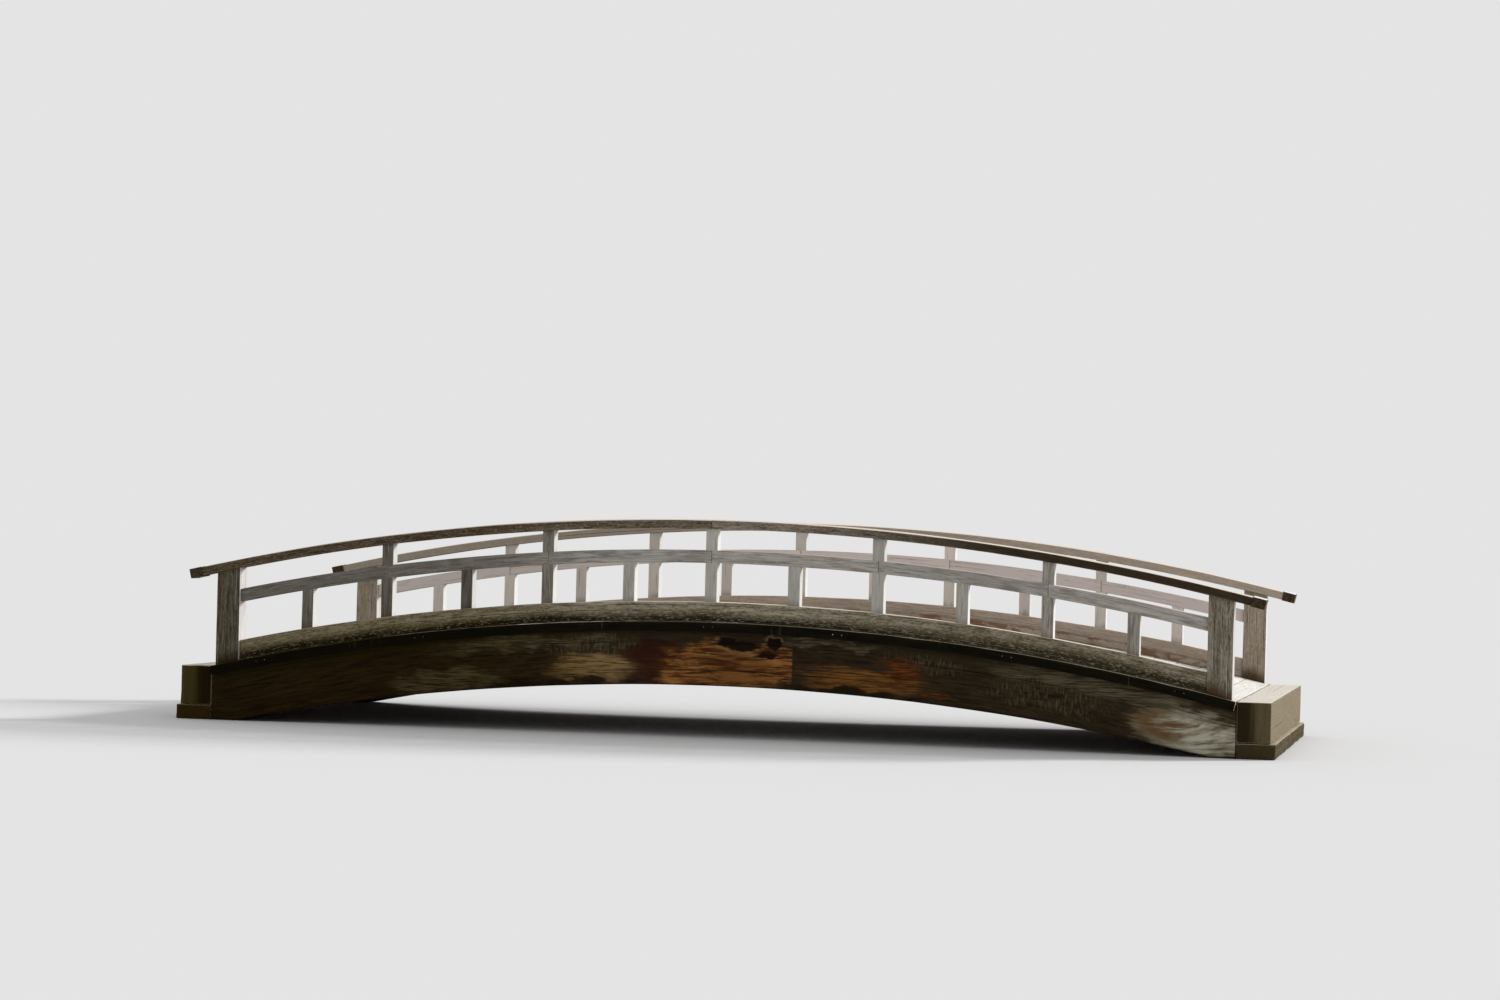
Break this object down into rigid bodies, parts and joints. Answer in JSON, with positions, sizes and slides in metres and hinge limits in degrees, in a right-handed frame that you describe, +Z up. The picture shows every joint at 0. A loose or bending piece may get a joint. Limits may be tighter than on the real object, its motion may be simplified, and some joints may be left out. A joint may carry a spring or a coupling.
{
  "type": "arched timber footbridge",
  "caption": "Low bowed timber footbridge with deep side girders, a planked deck, curbs, stepped posts, a middle rail and an overhanging handrail on each side.",
  "frame": {"origin": "on the ground, mid-span and mid-width: the centre of the bounding box's bottom face", "axes": "+X along the bridge to the right as seen from the near side, +Y across it to the far side, +Z up"},
  "size_m": [8.7796, 3.7306, 1.7073],
  "materials": {
    "girder_timber": "dark weathered timber, bare and orange-brown in patches",
    "frame_timber": "rough weathered timber",
    "sill_timber": "dark end grain, grey top",
    "footing_timber": "rough weathered timber",
    "deck_timber": "sun-bleached, worn boards",
    "edge_timber": "nearly black, mossy",
    "curb_timber": "silver grey, olive along the lower edge",
    "post_timber": "silver grey, browner at the foot",
    "end_post_timber": "silver grey with upright checks",
    "rail_timber": "silver grey",
    "handrail_timber": "brown sides, bleached top"
  },
  "bodies": {
    "root": {"girder_near": "girder_timber", "girder_far": "girder_timber", "cross_beam_1": "frame_timber", "cross_beam_2": "frame_timber", "cross_beam_3": "frame_timber", "cross_beam_4": "frame_timber", "cross_beam_5": "frame_timber", "end_sill_left": "sill_timber", "end_sill_right": "sill_timber", "footing_left": "footing_timber", "footing_right": "footing_timber", "stringers": "frame_timber", "deck_planks_left": "deck_timber", "deck_planks_middle": "deck_timber", "deck_planks_right": "deck_timber", "deck_edge_near": "edge_timber", "deck_edge_far": "edge_timber", "curb_near": "curb_timber", "curb_far": "curb_timber", "tall_post_near_1": "post_timber", "tall_post_near_2": "post_timber", "tall_post_near_3": "post_timber", "tall_post_near_4": "post_timber", "tall_post_near_5": "post_timber", "tall_post_far_1": "post_timber", "tall_post_far_2": "post_timber", "tall_post_far_3": "post_timber", "tall_post_far_4": "post_timber", "tall_post_far_5": "post_timber", "short_post_near_1": "post_timber", "short_post_near_2": "post_timber", "short_post_near_3": "post_timber", "short_post_near_4": "post_timber", "short_post_near_5": "post_timber", "short_post_near_6": "post_timber", "short_post_far_1": "post_timber", "short_post_far_2": "post_timber", "short_post_far_3": "post_timber", "short_post_far_4": "post_timber", "short_post_far_5": "post_timber", "short_post_far_6": "post_timber", "end_post_near_left": "end_post_timber", "end_post_near_right": "end_post_timber", "end_post_far_left": "end_post_timber", "end_post_far_right": "end_post_timber", "mid_rail_near": "rail_timber", "mid_rail_far": "rail_timber", "top_rail_near_left": "handrail_timber", "top_rail_near_right": "handrail_timber", "top_rail_far_left": "handrail_timber", "top_rail_far_right": "handrail_timber"}
  },
  "joints": []
}
